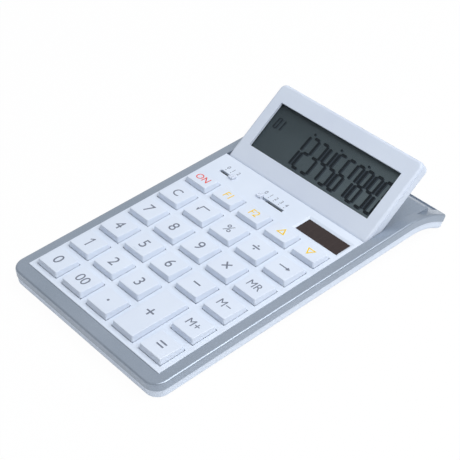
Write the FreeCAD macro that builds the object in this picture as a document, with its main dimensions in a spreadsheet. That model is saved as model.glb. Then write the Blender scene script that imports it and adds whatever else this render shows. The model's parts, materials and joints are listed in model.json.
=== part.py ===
import FreeCAD, Part
import Sketcher
import math
import os
from types import SimpleNamespace
from FreeCAD import Placement, Rotation, Vector

# A desk calculator with a tilting display. The case is drawn in its own frame: x from the middle,
# y from the front edge to the rear, z up from the surface of the key plate. The display head is
# drawn about its hinge axis. At the end everything is set down on the desk, tipped by the feet.

# Driving dimensions, in millimetres and degrees
DIMENSIONS = {
    # case
    "case_width": 108.0,
    "frame_depth": 4.1,
    "shell_depth": 5.0,
    "shell_step": 0.3,
    "case_wall": 1.6,
    "case_floor": 1.5,
    "corner_radius": 7.0,
    "frame_edge_radius": 1.0,
    "shell_edge_radius": 2.0,
    # tail that bends down to the desk
    "bend_from_front": 160.5,
    "tail_angle": 30.0,
    "tail_length": 18.15,
    "bend_top_radius": 40.0,
    "bend_parting_radius": 38.0,
    "bend_bottom_radius": 30.0,
    "tail_corner_radius": 1.5,
    "tail_recess": 0.5,
    # key plate
    "border_side": 5.7,
    "plate_length": 119.05,
    "plate_thickness": 1.5,
    "plate_proud": 0.4,
    "plate_edge_radius": 0.3,
    "plate_fit": 0.1,
    "border_front": 6.95,
    "ledge_width": 1.5,
    "ledge_thickness": 1.2,
    # keys
    "key_side_margin": 2.85,
    "key_gap": 4.1,
    "row_pitch": 17.41,
    "first_row": 16.65,
    "key_length": 13.3,
    "short_key_length": 10.0,
    "key_rise_front": 3.0,
    "key_rise_rear": 2.2,
    "key_draft": 0.6,
    "key_corner_radius": 0.8,
    "key_edge_radius": 0.4,
    "key_clearance": 0.15,
    "key_hole_bevel": 0.12,
    "key_stem_inset": 0.3,
    "flange_reach": 0.9,
    "flange_cutback": 1.0,
    "flange_thickness": 0.7,
    "flange_gap": 0.1,
    "tactile_bar_length": 3.4,
    "tactile_bar_width": 0.6,
    "tactile_bar_rise": 0.2,
    "tactile_bar_from_front": 2.0,
    # rubber keypad and main board
    "board_depth": 5.0,
    "board_thickness": 1.2,
    "board_side_gap": 3.1,
    "board_front": 9.5,
    "board_length": 97.5,
    "board_strip_length": 16.0,
    "board_strip_from_cell": 12.0,
    "rubber_thickness": 0.7,
    "rubber_side_gap": 2.3,
    "rubber_length": 99.0,
    "dome_base_radius": 4.6,
    "dome_top_radius": 2.6,
    "chip_radius": 6.0,
    "chip_height": 1.0,
    "chip_from_front": 60.0,
    # solar cell
    "solar_width": 27.1,
    "solar_length": 9.2,
    "solar_side_margin": 2.85,
    "solar_from_front": 115.8,
    "solar_bevel": 1.2,
    "solar_recess": 0.6,
    "solar_overlap": 0.5,
    "solar_thickness": 1.2,
    "solar_lead_radius": 0.35,
    "solar_lead_inset": 1.6,
    "solar_lead_spread": 4.8,
    # slide switches
    "switch_from_front": 114.8,
    "rounding_slot_from_side": 8.4,
    "decimal_slot_from_middle": 12.2,
    "switch_step": 3.6,
    "slot_width": 1.7,
    "knob_width": 3.0,
    "knob_length": 2.8,
    "knob_rise": 1.3,
    "knob_rib_depth": 0.4,
    "knob_rib_gap": 0.5,
    "knob_rib_pitch": 1.4,
    "knob_edge_radius": 0.2,
    "stem_play": 0.3,
    "slider_reach": 1.6,
    "slider_length": 4.6,
    "slider_height": 2.3,
    "wiper_thickness": 0.3,
    "wiper_length": 2.6,
    # display head
    "head_side_step": 0.1,
    "head_thickness": 6.4,
    "head_reach": 44.8,
    "head_corner_radius": 3.0,
    "head_edge_radius": 1.4,
    "head_side_gap": 0.3,
    "head_hinge_gap": 0.3,
    "head_floor_gap": 0.6,
    "head_wall": 1.4,
    "display_tilt": 32.67,
    "bezel_depth": 1.4,
    "bezel_step": 0.2,
    "window_from_side": 7.1,
    "window_from_edge": 9.43,
    "window_from_hinge": 8.87,
    "lens_overlap": 1.6,
    "lens_thickness": 0.8,
    "glass_overlap": 2.2,
    "glass_thickness": 1.8,
    "cushion_inset": 4.0,
    "cable_width": 16.0,
    "cable_thickness": 0.3,
    "cable_play": 0.3,
    "cable_on_board": 4.5,
    # hinge
    "well_wall": 1.6,
    "well_floor": 1.0,
    "pin_radius": 1.2,
    "pin_in_rail": 3.1,
    "pin_in_head": 5.0,
    "pin_play": 0.05,
    "bush_wall": 0.45,
    "bush_length": 5.4,
    "bush_slit": 0.6,
    "press_play": 0.02,
    "hinge_boss_length": 7.0,
    # battery
    "cell_radius": 5.8,
    "cell_height": 3.1,
    "cell_edge_radius": 0.2,
    "cell_from_side": 19.0,
    "cell_from_front": 115.4,
    "cell_play": 0.4,
    "cell_bay_wall": 1.2,
    "contact_thickness": 0.2,
    "contact_width": 4.0,
    "contact_on_board": 1.2,
    "door_width": 22.0,
    "door_length": 15.0,
    "door_thickness": 1.2,
    "door_play": 0.15,
    "door_grip_length": 9.0,
    "door_grip_width": 1.2,
    "door_grip_depth": 0.5,
    "door_grip_pitch": 2.4,
    "door_grip_inset": 1.8,
    # feet
    "front_foot_radius": 4.5,
    "front_foot_height": 0.8,
    "front_foot_from_front": 14.0,
    "foot_from_side": 14.0,
    "rear_foot_width": 12.0,
    "rear_foot_length": 3.0,
    "rear_foot_setback": 2.4,
    "rear_foot_clearance": 0.4,
    # screws
    "screw_radius": 1.0,
    "screw_head_radius": 1.9,
    "screw_head_height": 1.0,
    "screw_play": 0.15,
    "screw_recess_width": 0.6,
    "screw_recess_depth": 0.5,
    "case_screw_from_side": 4.8,
    "case_screw_pitch": 47.0,
    "case_screw_from_front": 10.0,
    "case_screw_sink": 1.9,
    "case_boss_radius": 3.1,
    "frame_boss_radius": 2.6,
    "case_boss_joint": 5.6,
    "case_screw_reach": 4.0,
    "board_boss_radius": 1.8,
    "board_screw_radius": 0.8,
    "board_screw_head_radius": 1.6,
    "board_screw_reach": 3.0,
    "display_boss_radius": 1.6,
    "display_screw_from_side": 10.2,
    "display_screw_from_edge": 4.0,
    "display_screw_from_hinge": 4.9,
    "display_screw_reach": 3.0,
}

doc = FreeCAD.newDocument("desk_calculator")
sheet = doc.addObject("Spreadsheet::Sheet", "dims")
for row, (alias, number) in enumerate(DIMENSIONS.items(), start=1):
    sheet.set(f"A{row}", alias)
    sheet.set(f"B{row}", str(number))
    sheet.setAlias(f"B{row}", alias)
doc.recompute()


class Size:
    """A length or a ratio: its value now and the sheet formula that gives it."""

    def __init__(self, value, formula):
        self.value = value
        self.formula = formula

    def __add__(self, other):
        other = size(other)
        return Size(self.value + other.value, f"({self.formula} + {other.formula})")

    def __sub__(self, other):
        other = size(other)
        return Size(self.value - other.value, f"({self.formula} - {other.formula})")

    def __mul__(self, other):
        other = size(other)
        return Size(self.value * other.value, f"({self.formula} * {other.formula})")

    def __truediv__(self, other):
        other = size(other)
        return Size(self.value / other.value, f"({self.formula} / {other.formula})")

    def __radd__(self, other):
        return size(other) + self

    def __rsub__(self, other):
        return size(other) - self

    def __rmul__(self, other):
        return size(other) * self

    def __neg__(self):
        return size(0) - self


def size(number):
    """A plain number as a Size."""
    if isinstance(number, Size):
        return number
    return Size(float(number), f"({number})")


def turn(function, angle):
    """A sine, cosine or tangent of a sheet angle in degrees."""
    value = getattr(math, function)(math.radians(angle.value))
    return Size(value, f"{function}({angle.formula} * 1 deg)")


d = SimpleNamespace(**{alias: Size(getattr(sheet, alias), f"dims.{alias}") for alias in DIMENSIONS})

# Levels of the case, from the plate surface downwards
plate_under = -d.plate_thickness
frame_top = -d.plate_proud
parting = frame_top - d.frame_depth
case_bottom = parting - d.shell_depth
floor_top = case_bottom + d.case_floor
ledge_under = plate_under - d.ledge_thickness
flange_top = plate_under - d.flange_gap
flange_under = flange_top - d.flange_thickness
board_top = -d.board_depth
board_under = board_top - d.board_thickness
rubber_top = board_top + d.rubber_thickness
cell_top = board_top
cell_under = cell_top - d.cell_height

# Places along and across the case
half_case = d.case_width / 2
half_plate = half_case - d.border_side
half_board = half_plate - d.board_side_gap
half_rubber = half_plate - d.rubber_side_gap
half_head_width = half_plate - d.head_side_step
plate_front = d.border_front
plate_rear = plate_front + d.plate_length
board_rear = d.board_front + d.board_length
half_head = d.head_thickness / 2
hinge_y = plate_rear + d.head_hinge_gap + half_head
hinge_z = -half_head
half_well = half_head_width + d.head_side_gap
window_width = (half_head_width - d.window_from_side) * 2
window_length = d.head_reach - d.window_from_hinge - d.window_from_edge
solar_x = half_plate - d.solar_side_margin - d.solar_width / 2
cell_x = half_case - d.cell_from_side
cell_y = d.cell_from_front
foot_x = half_case - d.foot_from_side
board_strip_end = cell_x - d.board_strip_from_cell
well_bottom = -(d.head_thickness + d.head_floor_gap)
tray_bottom = well_bottom - d.well_floor

# Directions of the tail
slope_y = turn("cos", d.tail_angle)
slope_z = turn("sin", d.tail_angle)
slope = turn("tan", d.tail_angle)

OVERCUT = 2.0
SAME = 0.01
SIDES = {"left": -1, "right": 1}


def bind(thing, **sizes):
    """Tie an object's properties to sheet formulas."""
    for name, length in sizes.items():
        thing.setExpression(name.replace("__", "."), size(length).formula)
    return thing


def block(name, low, high):
    """A box between two corners."""
    box = doc.addObject("Part::Box", name)
    x, y, z = low
    bind(box, Placement__Base__x=x, Placement__Base__y=y, Placement__Base__z=z)
    return bind(box, Length=high[0] - x, Width=high[1] - y, Height=high[2] - z)


def centred_block(name, centre, width, length, bottom, top):
    """A box about a point of the plan, between two levels."""
    x, y = (size(value) for value in centre)
    low = (x - size(width) / 2, y - size(length) / 2, size(bottom))
    high = (x + size(width) / 2, y + size(length) / 2, size(top))
    return block(name, low, high)


AXIS_TURNS = {"x": Rotation(Vector(0, 1, 0), 90), "z": Rotation()}


def rod(name, start, radius, length, axis="z"):
    """A cylinder from a point along an axis."""
    cylinder = doc.addObject("Part::Cylinder", name)
    cylinder.Placement = Placement(Vector(), AXIS_TURNS[axis])
    x, y, z = start
    bind(cylinder, Placement__Base__x=x, Placement__Base__y=y, Placement__Base__z=z)
    return bind(cylinder, Radius=radius, Height=length)


def frustum(name, start, low_radius, high_radius, height):
    """A cone frustum that stands on a point."""
    cone = doc.addObject("Part::Cone", name)
    x, y, z = start
    bind(cone, Placement__Base__x=x, Placement__Base__y=y, Placement__Base__z=z)
    return bind(cone, Radius1=low_radius, Radius2=high_radius, Height=height)


def pyramid(name, centre, low_size, high_size, bottom, top):
    """A four-sided taper between two rectangles of the plan."""
    taper = doc.addObject("Part::Wedge", name)
    taper.Placement = Placement(Vector(), Rotation(Vector(1, 0, 0), 90))
    bind(taper, Placement__Base__x=centre[0], Placement__Base__y=centre[1])
    bind(taper, Xmin=-low_size[0] / 2, Xmax=low_size[0] / 2, Zmin=-low_size[1] / 2, Zmax=low_size[1] / 2)
    bind(taper, X2min=-high_size[0] / 2, X2max=high_size[0] / 2)
    bind(taper, Z2min=-high_size[1] / 2, Z2max=high_size[1] / 2)
    return bind(taper, Ymin=bottom, Ymax=top)


def fuse(name, pieces):
    joined = doc.addObject("Part::MultiFuse", name)
    joined.Shapes = pieces
    return joined


def group(name, pieces):
    """Separate solids kept together."""
    together = doc.addObject("Part::Compound", name)
    together.Links = pieces
    return together


def cut(name, base, tools):
    """A piece less its tools; tools in one list stay clear of each other."""
    rest = doc.addObject("Part::Cut", name)
    rest.Base = base
    rest.Tool = tools[0] if len(tools) == 1 else group(f"{name}_tools", tools)
    return rest


def common(name, base, tool):
    shared = doc.addObject("Part::Common", name)
    shared.Base = base
    shared.Tool = tool
    return shared


def round_edges(name, base, radii):
    """Fillets; radii gives each edge its radius, or nothing."""
    doc.recompute()
    edges = []
    for index, edge in enumerate(base.Shape.Edges, start=1):
        radius = radii(edge)
        if radius is not None:
            edges.append((index, radius.value, radius.value))
    rounded = doc.addObject("Part::Fillet", name)
    rounded.Base = base
    rounded.Edges = edges
    return rounded


def side_prism(name, outline, width):
    """A body drawn from the side, y and z, and padded evenly to both sides."""
    body = doc.addObject("PartDesign::Body", name)
    plane = next(item for item in body.Origin.OriginFeatures if item.Role == "YZ_Plane")
    sketch = body.newObject("Sketcher::SketchObject", f"{name}_outline")
    sketch.AttachmentSupport = (plane, [""])
    sketch.MapMode = "FlatFace"
    corners = [(size(y), size(z)) for y, z in outline]
    points = [Vector(y.value, z.value, 0) for y, z in corners]
    for start, end in zip(points, points[1:] + points[:1]):
        sketch.addGeometry(Part.LineSegment(start, end), False)
    for index in range(len(points)):
        following = (index + 1) % len(points)
        sketch.addConstraint(Sketcher.Constraint("Coincident", index, 2, following, 1))
    for index, corner in enumerate(corners):
        for kind, distance in zip(("DistanceX", "DistanceY"), corner):
            held = sketch.addConstraint(Sketcher.Constraint(kind, -1, 1, index, 1, distance.value))
            sketch.setExpression(f"Constraints[{held}]", distance.formula)
    pad = body.newObject("PartDesign::Pad", f"{name}_pad")
    pad.Profile = sketch
    pad.SideType = "Symmetric"
    bind(pad, Length=width)
    doc.recompute()
    return body


def body_fillet(body, name, radius, chosen):
    """Round the chosen edges of a body's last feature."""
    doc.recompute()
    edges = [f"Edge{i}" for i, edge in enumerate(body.Shape.Edges, start=1) if chosen(edge)]
    last = body.Tip
    fillet = body.newObject("PartDesign::Fillet", f"{body.Name}_{name}")
    fillet.Base = (last, edges)
    bind(fillet, Radius=radius)
    body.Tip = fillet
    doc.recompute()


def edge_points(edge):
    """Both ends and the middle of an edge."""
    first, last = edge.ParameterRange
    return [edge.valueAt(first + share * (last - first)) for share in (0.0, 0.5, 1.0)]


def runs_along(edge, axis):
    """Whether an edge is straight and parallel to an axis, 0, 1 or 2 for x, y or z."""
    start, middle, end = edge_points(edge)
    span = end - start
    others = [abs(span[i]) for i in range(3) if i != axis]
    bowed = (start + end - middle * 2).Length
    return max(others) < SAME and bowed < SAME


def passes(edge, y, z):
    """Whether an edge lies at a point of the side view."""
    return all(math.hypot(p.y - y.value, p.z - z.value) < SAME for p in edge_points(edge))


def tail_point(level, along, depth=0):
    """A point of the tail: along its slope from the bend, and square below a level's line."""
    y = d.bend_from_front + along * slope_y - depth * slope_z
    z = level - along * slope_z - depth * slope_y
    return y, z


def case_slice(name, top, bottom, width, top_bend, bottom_bend, corner):
    """The case between two levels, bent down at the tail, with rounded corners in plan."""
    top_end = tail_point(frame_top, d.tail_length, (frame_top - top) * slope_y)
    bottom_end = tail_point(frame_top, d.tail_length, (frame_top - bottom) * slope_y)
    front = (half_case * 2 - width) / 2
    outline = [
        (front, bottom),
        (front, top),
        (d.bend_from_front, top),
        top_end,
        bottom_end,
        (d.bend_from_front, bottom),
    ]
    body = side_prism(name, outline, width)
    body_fillet(body, "top_bend", top_bend, lambda edge: passes(edge, d.bend_from_front, top))
    body_fillet(body, "bottom_bend", bottom_bend, lambda edge: passes(edge, d.bend_from_front, bottom))
    body_fillet(
        body,
        "corners",
        corner,
        lambda edge: runs_along(edge, 2) and abs(edge_points(edge)[0].y - front.value) < SAME,
    )
    body_fillet(
        body,
        "tail_corners",
        d.tail_corner_radius,
        lambda edge: joins(edge, top_end, bottom_end),
    )
    return body


def joins(edge, start, end):
    """Whether an edge runs between two points of the side view."""
    ends = (edge_points(edge)[0], edge_points(edge)[2])
    wanted = [(start[0].value, start[1].value), (end[0].value, end[1].value)]
    for first, second in (ends, ends[::-1]):
        offsets = [
            math.hypot(first.y - wanted[0][0], first.z - wanted[0][1]),
            math.hypot(second.y - wanted[1][0], second.z - wanted[1][1]),
        ]
        if max(offsets) < SAME:
            return True
    return False


def bent_height(y, level, radius):
    """The height of a level's bent line at a distance from the front."""
    angle = math.radians(d.tail_angle.value)
    start = d.bend_from_front.value - radius.value * math.tan(angle / 2)
    end = start + radius.value * math.sin(angle)
    if y <= start:
        return level.value
    if y <= end:
        return level.value - radius.value + math.sqrt(radius.value**2 - (y - start) ** 2)
    return level.value - (y - d.bend_from_front.value) * math.tan(angle)


def on_rim(edge, level, radius, front):
    """Whether an edge is on the outer rim of a bent level, not across it."""
    points = edge_points(edge)
    if any(abs(p.z - bent_height(p.y, level, radius)) > SAME for p in points):
        return False
    return not (runs_along(edge, 0) and points[0].y > front + SAME and not at_tail_end(points[0]))


def at_tail_end(point):
    """Whether a point is on the square end of the tail."""
    end_y, end_z = tail_point(frame_top, d.tail_length)
    return abs((point.y - end_y.value) * slope_y.value - (point.z - end_z.value) * slope_z.value) < SAME


subparts = {}


def hand_in(piece, label, local=None):
    """Name a finished sub-part, in a holder of its own, and note where it sits in the case."""
    holder = group(label, [piece])
    holder.Label = label
    subparts[label] = (holder, local or Placement())


def screw(name, place, radius, head_radius, reach):
    """A pan-head screw whose head seats at a place, with a cross recess."""
    x, y, z = (size(value) for value in place)
    head = rod(f"{name}_head", (x, y, z - d.screw_head_height), head_radius, d.screw_head_height)
    shank = rod(f"{name}_shank", (x, y, z), radius, reach)
    under = z - d.screw_head_height
    recess_top = under + d.screw_recess_depth
    recess = [
        centred_block(f"{name}_slot", (x, y), head_radius, d.screw_recess_width, under, recess_top),
        centred_block(f"{name}_cross", (x, y), d.screw_recess_width, head_radius, under, recess_top),
    ]
    return cut(name, fuse(f"{name}_whole", [head, shank]), [fuse(f"{name}_recess", recess)])


# Places of the keys, switches and fasteners in the plan

COLUMNS = 5
key_width = ((half_plate - d.key_side_margin) * 2 - d.key_gap * (COLUMNS - 1)) / COLUMNS
column_pitch = key_width + d.key_gap
KEY_GRID = [
    ["key_0", "key_00", "key_point", "key_plus", "key_equals"],
    ["key_1", "key_2", "key_3", None, "key_memory_plus"],
    ["key_4", "key_5", "key_6", "key_minus", "key_memory_minus"],
    ["key_7", "key_8", "key_9", "key_times", "key_memory_recall"],
    ["key_clear", "key_root", "key_percent", "key_divide", "key_shift"],
    ["key_on", "key_function_left", "key_function_right", "key_up", "key_down"],
]
TALL_KEY = "key_plus"
MARKED_KEY = "key_5"
SHORT_KEYS = KEY_GRID[-1]

keys = {}
for row, names in enumerate(KEY_GRID):
    for column, label in enumerate(names):
        if label is None:
            continue
        spare_rows = 1 if label == TALL_KEY else 0
        length = d.short_key_length if label in SHORT_KEYS else d.key_length + d.row_pitch * spare_rows
        front = d.first_row + d.row_pitch * row - d.key_length / 2
        keys[label] = SimpleNamespace(
            x=column_pitch * (column - (COLUMNS - 1) / 2), y=front + length / 2, length=length
        )

BOARD_SCREW_ROWS = (1.5, 4.5)
board_screw_places = [
    (column_pitch * side * 1.5, d.first_row + d.row_pitch * between)
    for side in (-1, 1)
    for between in BOARD_SCREW_ROWS
]
CASE_SCREW_ROWS = 3
DOOR_GRIPS = 3
case_screw_places = [
    ((half_case - d.case_screw_from_side) * side, d.case_screw_from_front + d.case_screw_pitch * row)
    for side in (-1, 1)
    for row in range(CASE_SCREW_ROWS)
]
display_screw_places = [
    ((half_head_width - d.display_screw_from_side) * side, y)
    for side in (-1, 1)
    for y in (d.display_screw_from_hinge, d.head_reach - d.display_screw_from_edge)
]
switches = {
    "rounding": SimpleNamespace(start=d.rounding_slot_from_side - half_plate, steps=2, at_step=2),
    "decimal": SimpleNamespace(start=-d.decimal_slot_from_middle, steps=4, at_step=0),
}
for switch in switches.values():
    switch.travel = d.switch_step * switch.steps
    switch.length = switch.travel + d.knob_width + d.stem_play * 2
    switch.knob_x = switch.start + d.stem_play + d.knob_width / 2 + d.switch_step * switch.at_step

# Display well: its outline from the side, with the shallow recess that runs out over the tail
well_run = (-well_bottom - d.plate_proud - d.tail_recess / slope_y) / slope
folded_end = hinge_y + d.head_reach + d.head_side_gap
recess_along = (folded_end - d.bend_from_front + d.tail_recess * slope_z) / slope_y
recess_end = tail_point(frame_top, recess_along, d.tail_recess)
recess_lip = tail_point(frame_top, recess_along, -d.head_thickness)
well_outline = [
    (plate_rear, well_bottom),
    (d.bend_from_front + well_run, well_bottom),
    recess_end,
    recess_lip,
    (recess_lip[0], d.head_thickness),
    (plate_rear, d.head_thickness),
]


def make_top_frame():
    """Silver upper case: rim round the key plate, two rails, and the well the display folds into."""
    outer = case_slice(
        "frame_outer",
        frame_top,
        parting,
        d.case_width,
        d.bend_top_radius,
        d.bend_parting_radius,
        d.corner_radius,
    )
    body_fillet(
        outer,
        "rim",
        d.frame_edge_radius,
        lambda edge: on_rim(edge, frame_top, d.bend_top_radius, 0.0),
    )
    inner_front = d.case_wall
    inner_rear = plate_rear - d.well_wall
    hollow = block(
        "frame_hollow",
        (-half_case + d.case_wall, inner_front, parting - OVERCUT),
        (half_case - d.case_wall, inner_rear, ledge_under),
    )
    hollow = round_edges(
        "frame_hollow_rounded",
        hollow,
        lambda edge: d.corner_radius - d.case_wall
        if runs_along(edge, 2) and edge_points(edge)[0].y < inner_front.value + SAME
        else None,
    )
    seat = block(
        "frame_plate_seat",
        (-half_plate - d.plate_fit, plate_front - d.plate_fit, plate_under),
        (half_plate + d.plate_fit, plate_rear + OVERCUT, size(OVERCUT)),
    )
    opening = block(
        "frame_opening",
        (-half_plate + d.ledge_width, plate_front + d.ledge_width, ledge_under - OVERCUT),
        (half_plate - d.ledge_width, inner_rear, size(OVERCUT)),
    )
    hollowed = cut("frame_hollowed", outer, [fuse("frame_spaces", [hollow, seat, opening])])
    tray = block(
        "frame_tray",
        (-half_well - d.well_wall, inner_rear, tray_bottom),
        (half_well + d.well_wall, d.bend_from_front + (parting - tray_bottom) / slope, plate_under),
    )
    boss_reach = half_case - d.shell_step - d.case_wall - d.plate_fit
    hinge_bosses = [
        centred_block(
            f"frame_hinge_boss_{name}",
            ((half_well + boss_reach) / 2 * side, hinge_y),
            boss_reach - half_well,
            d.hinge_boss_length,
            tray_bottom,
            frame_top - d.frame_edge_radius,
        )
        for name, side in SIDES.items()
    ]
    screw_bosses = [
        rod(f"frame_boss_{i}", (x, y, -d.case_boss_joint), d.frame_boss_radius,
            ledge_under + d.case_boss_joint + d.ledge_thickness / 2)
        for i, (x, y) in enumerate(case_screw_places)
    ]
    whole = fuse("frame_whole", [hollowed, tray] + hinge_bosses + screw_bosses)
    well = side_prism("frame_well", well_outline, half_well * 2)
    pilot_top = -d.case_boss_joint + d.case_screw_reach
    pilots = [
        rod(f"frame_pilot_{i}", (x, y, -d.case_boss_joint - OVERCUT), d.screw_radius + d.press_play,
            pilot_top + d.case_boss_joint + OVERCUT)
        for i, (x, y) in enumerate(case_screw_places)
    ]
    pin_holes = [
        rod(f"frame_pin_hole_{name}", (start, hinge_y, hinge_z), d.pin_radius + d.press_play,
            d.pin_in_rail + OVERCUT, "x")
        for name, start in (("left", -half_well - d.pin_in_rail), ("right", half_well - OVERCUT))
    ]
    half_slot = d.cable_width / 2 + d.cable_play
    cable_slot = block(
        "frame_cable_slot",
        (-half_slot, inner_rear - OVERCUT, board_top - d.cable_play),
        (half_slot, plate_rear + OVERCUT, board_top + d.cable_thickness + d.cable_play),
    )
    frame = cut("frame_less_well", whole, [fuse("frame_well_spaces", [well, cable_slot])])
    frame = cut("frame_form", frame, pilots + pin_holes)
    hand_in(frame, "top_frame")


def make_bottom_case():
    """White lower case: a tray that follows the bend, with screw bosses and the button cell's bay."""
    width = d.case_width - d.shell_step * 2
    outer = case_slice(
        "shell_outer",
        parting,
        case_bottom,
        width,
        d.bend_parting_radius,
        d.bend_bottom_radius,
        d.corner_radius - d.shell_step,
    )
    body_fillet(
        outer,
        "rim",
        d.shell_edge_radius,
        lambda edge: on_rim(edge, case_bottom, d.bend_bottom_radius, d.shell_step.value),
    )
    inner_front = d.shell_step + d.case_wall
    inner_along = d.tail_length - d.case_wall
    cavity = side_prism(
        "shell_cavity",
        [
            (inner_front, size(0)),
            (inner_front, floor_top),
            (d.bend_from_front, floor_top),
            tail_point(frame_top, inner_along, (frame_top - floor_top) * slope_y),
            tail_point(frame_top, inner_along),
            (d.bend_from_front, size(0)),
        ],
        width - d.case_wall * 2,
    )
    body_fillet(
        cavity,
        "corners",
        d.corner_radius - d.shell_step - d.case_wall,
        lambda edge: runs_along(edge, 2) and abs(edge_points(edge)[0].y - inner_front.value) < SAME,
    )
    tray = cut("shell_tray", outer, [cavity])
    bosses = [
        rod(f"shell_boss_{i}", (x, y, case_bottom + d.case_screw_sink / 2), d.case_boss_radius,
            -d.case_boss_joint - case_bottom - d.case_screw_sink / 2)
        for i, (x, y) in enumerate(case_screw_places)
    ]
    cell_place = (cell_x, cell_y)
    door_top = case_bottom + d.door_thickness
    bay_inner = (d.cell_radius + d.cell_play) * 2
    bay_outer = bay_inner + d.cell_bay_wall * 2
    bay_base = centred_block("shell_bay_base", cell_place, d.door_width + d.cell_bay_wall * 2,
                             d.door_length + d.cell_bay_wall * 2, door_top, floor_top + d.cell_bay_wall)
    bay_ring = centred_block("shell_bay_ring", cell_place, bay_outer, bay_outer, door_top,
                             board_top - d.contact_thickness * 2)
    whole = fuse("shell_whole", [tray, bay_base, bay_ring] + bosses)
    door_opening = centred_block("shell_door_opening", cell_place, d.door_width + d.door_play * 2,
                                 d.door_length + d.door_play * 2, case_bottom - OVERCUT, door_top)
    bay = centred_block("shell_bay", cell_place, bay_inner, bay_inner, door_top, size(0))
    sinks = [
        rod(f"shell_sink_{i}", (x, y, case_bottom - OVERCUT), d.screw_head_radius + d.screw_play,
            d.case_screw_sink + OVERCUT)
        for i, (x, y) in enumerate(case_screw_places)
    ]
    holes = [
        rod(f"shell_hole_{i}", (x, y, case_bottom), d.screw_radius + d.screw_play, -case_bottom)
        for i, (x, y) in enumerate(case_screw_places)
    ]
    shell = cut("shell_bored", whole, holes)
    shell = cut("shell_form", shell, sinks + [fuse("shell_bay_spaces", [door_opening, bay])])
    hand_in(shell, "bottom_case")


def make_key_plate():
    """White plate with bevelled key holes, the solar window, two switch slots and bosses for the board."""
    slab = block("plate_slab", (-half_plate, plate_front, plate_under), (half_plate, plate_rear, size(0)))
    slab = round_edges(
        "plate_rounded",
        slab,
        lambda edge: d.plate_edge_radius if all(abs(p.z) < SAME for p in edge_points(edge)) else None,
    )
    bosses = [
        rod(f"plate_boss_{i}", (x, y, board_top), d.board_boss_radius,
            plate_under - board_top + d.plate_thickness / 2)
        for i, (x, y) in enumerate(board_screw_places)
    ]
    whole = fuse("plate_whole", [slab] + bosses)
    below = plate_under - OVERCUT
    above = size(OVERCUT)
    openings = []
    bevels = []
    for label, key in keys.items():
        place = (key.x, key.y)
        opening = (key_width + d.key_clearance * 2, key.length + d.key_clearance * 2)
        openings.append(centred_block(f"{label}_hole", place, opening[0], opening[1], below, above))
        bevels.append(bevel(f"{label}_bevel", place, opening, d.key_hole_bevel, d.key_hole_bevel))
    solar_place = (solar_x, d.solar_from_front)
    solar_opening = (d.solar_width, d.solar_length)
    openings.append(centred_block("solar_hole", solar_place, d.solar_width, d.solar_length, below, above))
    bevels.append(bevel("solar_window_bevel", solar_place, solar_opening, d.solar_bevel, d.solar_recess))
    for name, switch in switches.items():
        place = (switch.start + switch.length / 2, d.switch_from_front)
        openings.append(centred_block(f"{name}_slot", place, switch.length, d.slot_width, below, above))
    for i, (x, y) in enumerate(board_screw_places):
        openings.append(rod(f"plate_pilot_{i}", (x, y, board_top - OVERCUT),
                            d.board_screw_radius + d.press_play, d.board_screw_reach + OVERCUT))
    plate = cut("plate_form", cut("plate_pierced", whole, openings), bevels)
    hand_in(plate, "key_plate")


def bevel(name, place, opening, reach, depth):
    """A tapered cutter that bevels an opening's upper edge."""
    wide = (opening[0] + reach * 4, opening[1] + reach * 4)
    return pyramid(name, place, opening, wide, -depth, depth)


def key_form(name, length, marked=False):
    """A key cap with drafted sides and a top that falls to the rear, on a stem with a flange."""
    width = key_width
    top = (width - d.key_draft * 2, length - d.key_draft * 2)
    taper = pyramid(f"{name}_taper", (0, 0), (width, length), top, size(0), d.key_rise_front)
    slant = doc.addObject("Part::Wedge", f"{name}_slant")
    bind(slant, Xmin=-width / 2, Xmax=width / 2, X2min=-width / 2, X2max=width / 2)
    bind(slant, Ymin=-length / 2, Ymax=length / 2)
    bind(slant, Zmin=0, Zmax=d.key_rise_front, Z2min=0, Z2max=d.key_rise_rear)
    cap = common(f"{name}_cap", taper, slant)

    def radii(edge):
        heights = [p.z for p in edge_points(edge)]
        if max(heights) < SAME:
            return None
        return d.key_corner_radius if min(heights) < SAME else d.key_edge_radius

    cap = round_edges(f"{name}_rounded", cap, radii)
    stem_width = width - d.key_stem_inset * 2
    stem_length = length - d.key_stem_inset * 2
    flange_width = width + d.flange_reach * 2
    flange_length = length - d.flange_cutback * 2
    pieces = [
        cap,
        centred_block(f"{name}_stem", (0, 0), stem_width, stem_length, flange_top, size(0)),
        centred_block(f"{name}_flange", (0, 0), flange_width, flange_length, flange_under, flange_top),
    ]
    if marked:
        fall = (d.key_rise_front - d.key_rise_rear) * d.tactile_bar_from_front / length
        bar_place = (0, d.tactile_bar_from_front - length / 2)
        bar_bottom = d.key_rise_rear - d.key_edge_radius
        bar_top = d.key_rise_front - fall + d.tactile_bar_rise
        pieces.append(centred_block(f"{name}_bar", bar_place, d.tactile_bar_length, d.tactile_bar_width,
                                    bar_bottom, bar_top))
    return fuse(f"{name}_form", pieces)


def make_keys():
    """All keys: most share one form; the tall key, the key with the tactile bar and the short row differ."""
    plain = key_form("plain_key", d.key_length)
    special = dict.fromkeys(SHORT_KEYS, key_form("short_key", d.short_key_length))
    special[TALL_KEY] = key_form("tall_key", keys[TALL_KEY].length)
    special[MARKED_KEY] = key_form("marked_key", d.key_length, marked=True)
    for label, key in keys.items():
        place = Placement(Vector(key.x.value, key.y.value, 0), Rotation())
        hand_in(special.get(label, plain), label, place)


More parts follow.
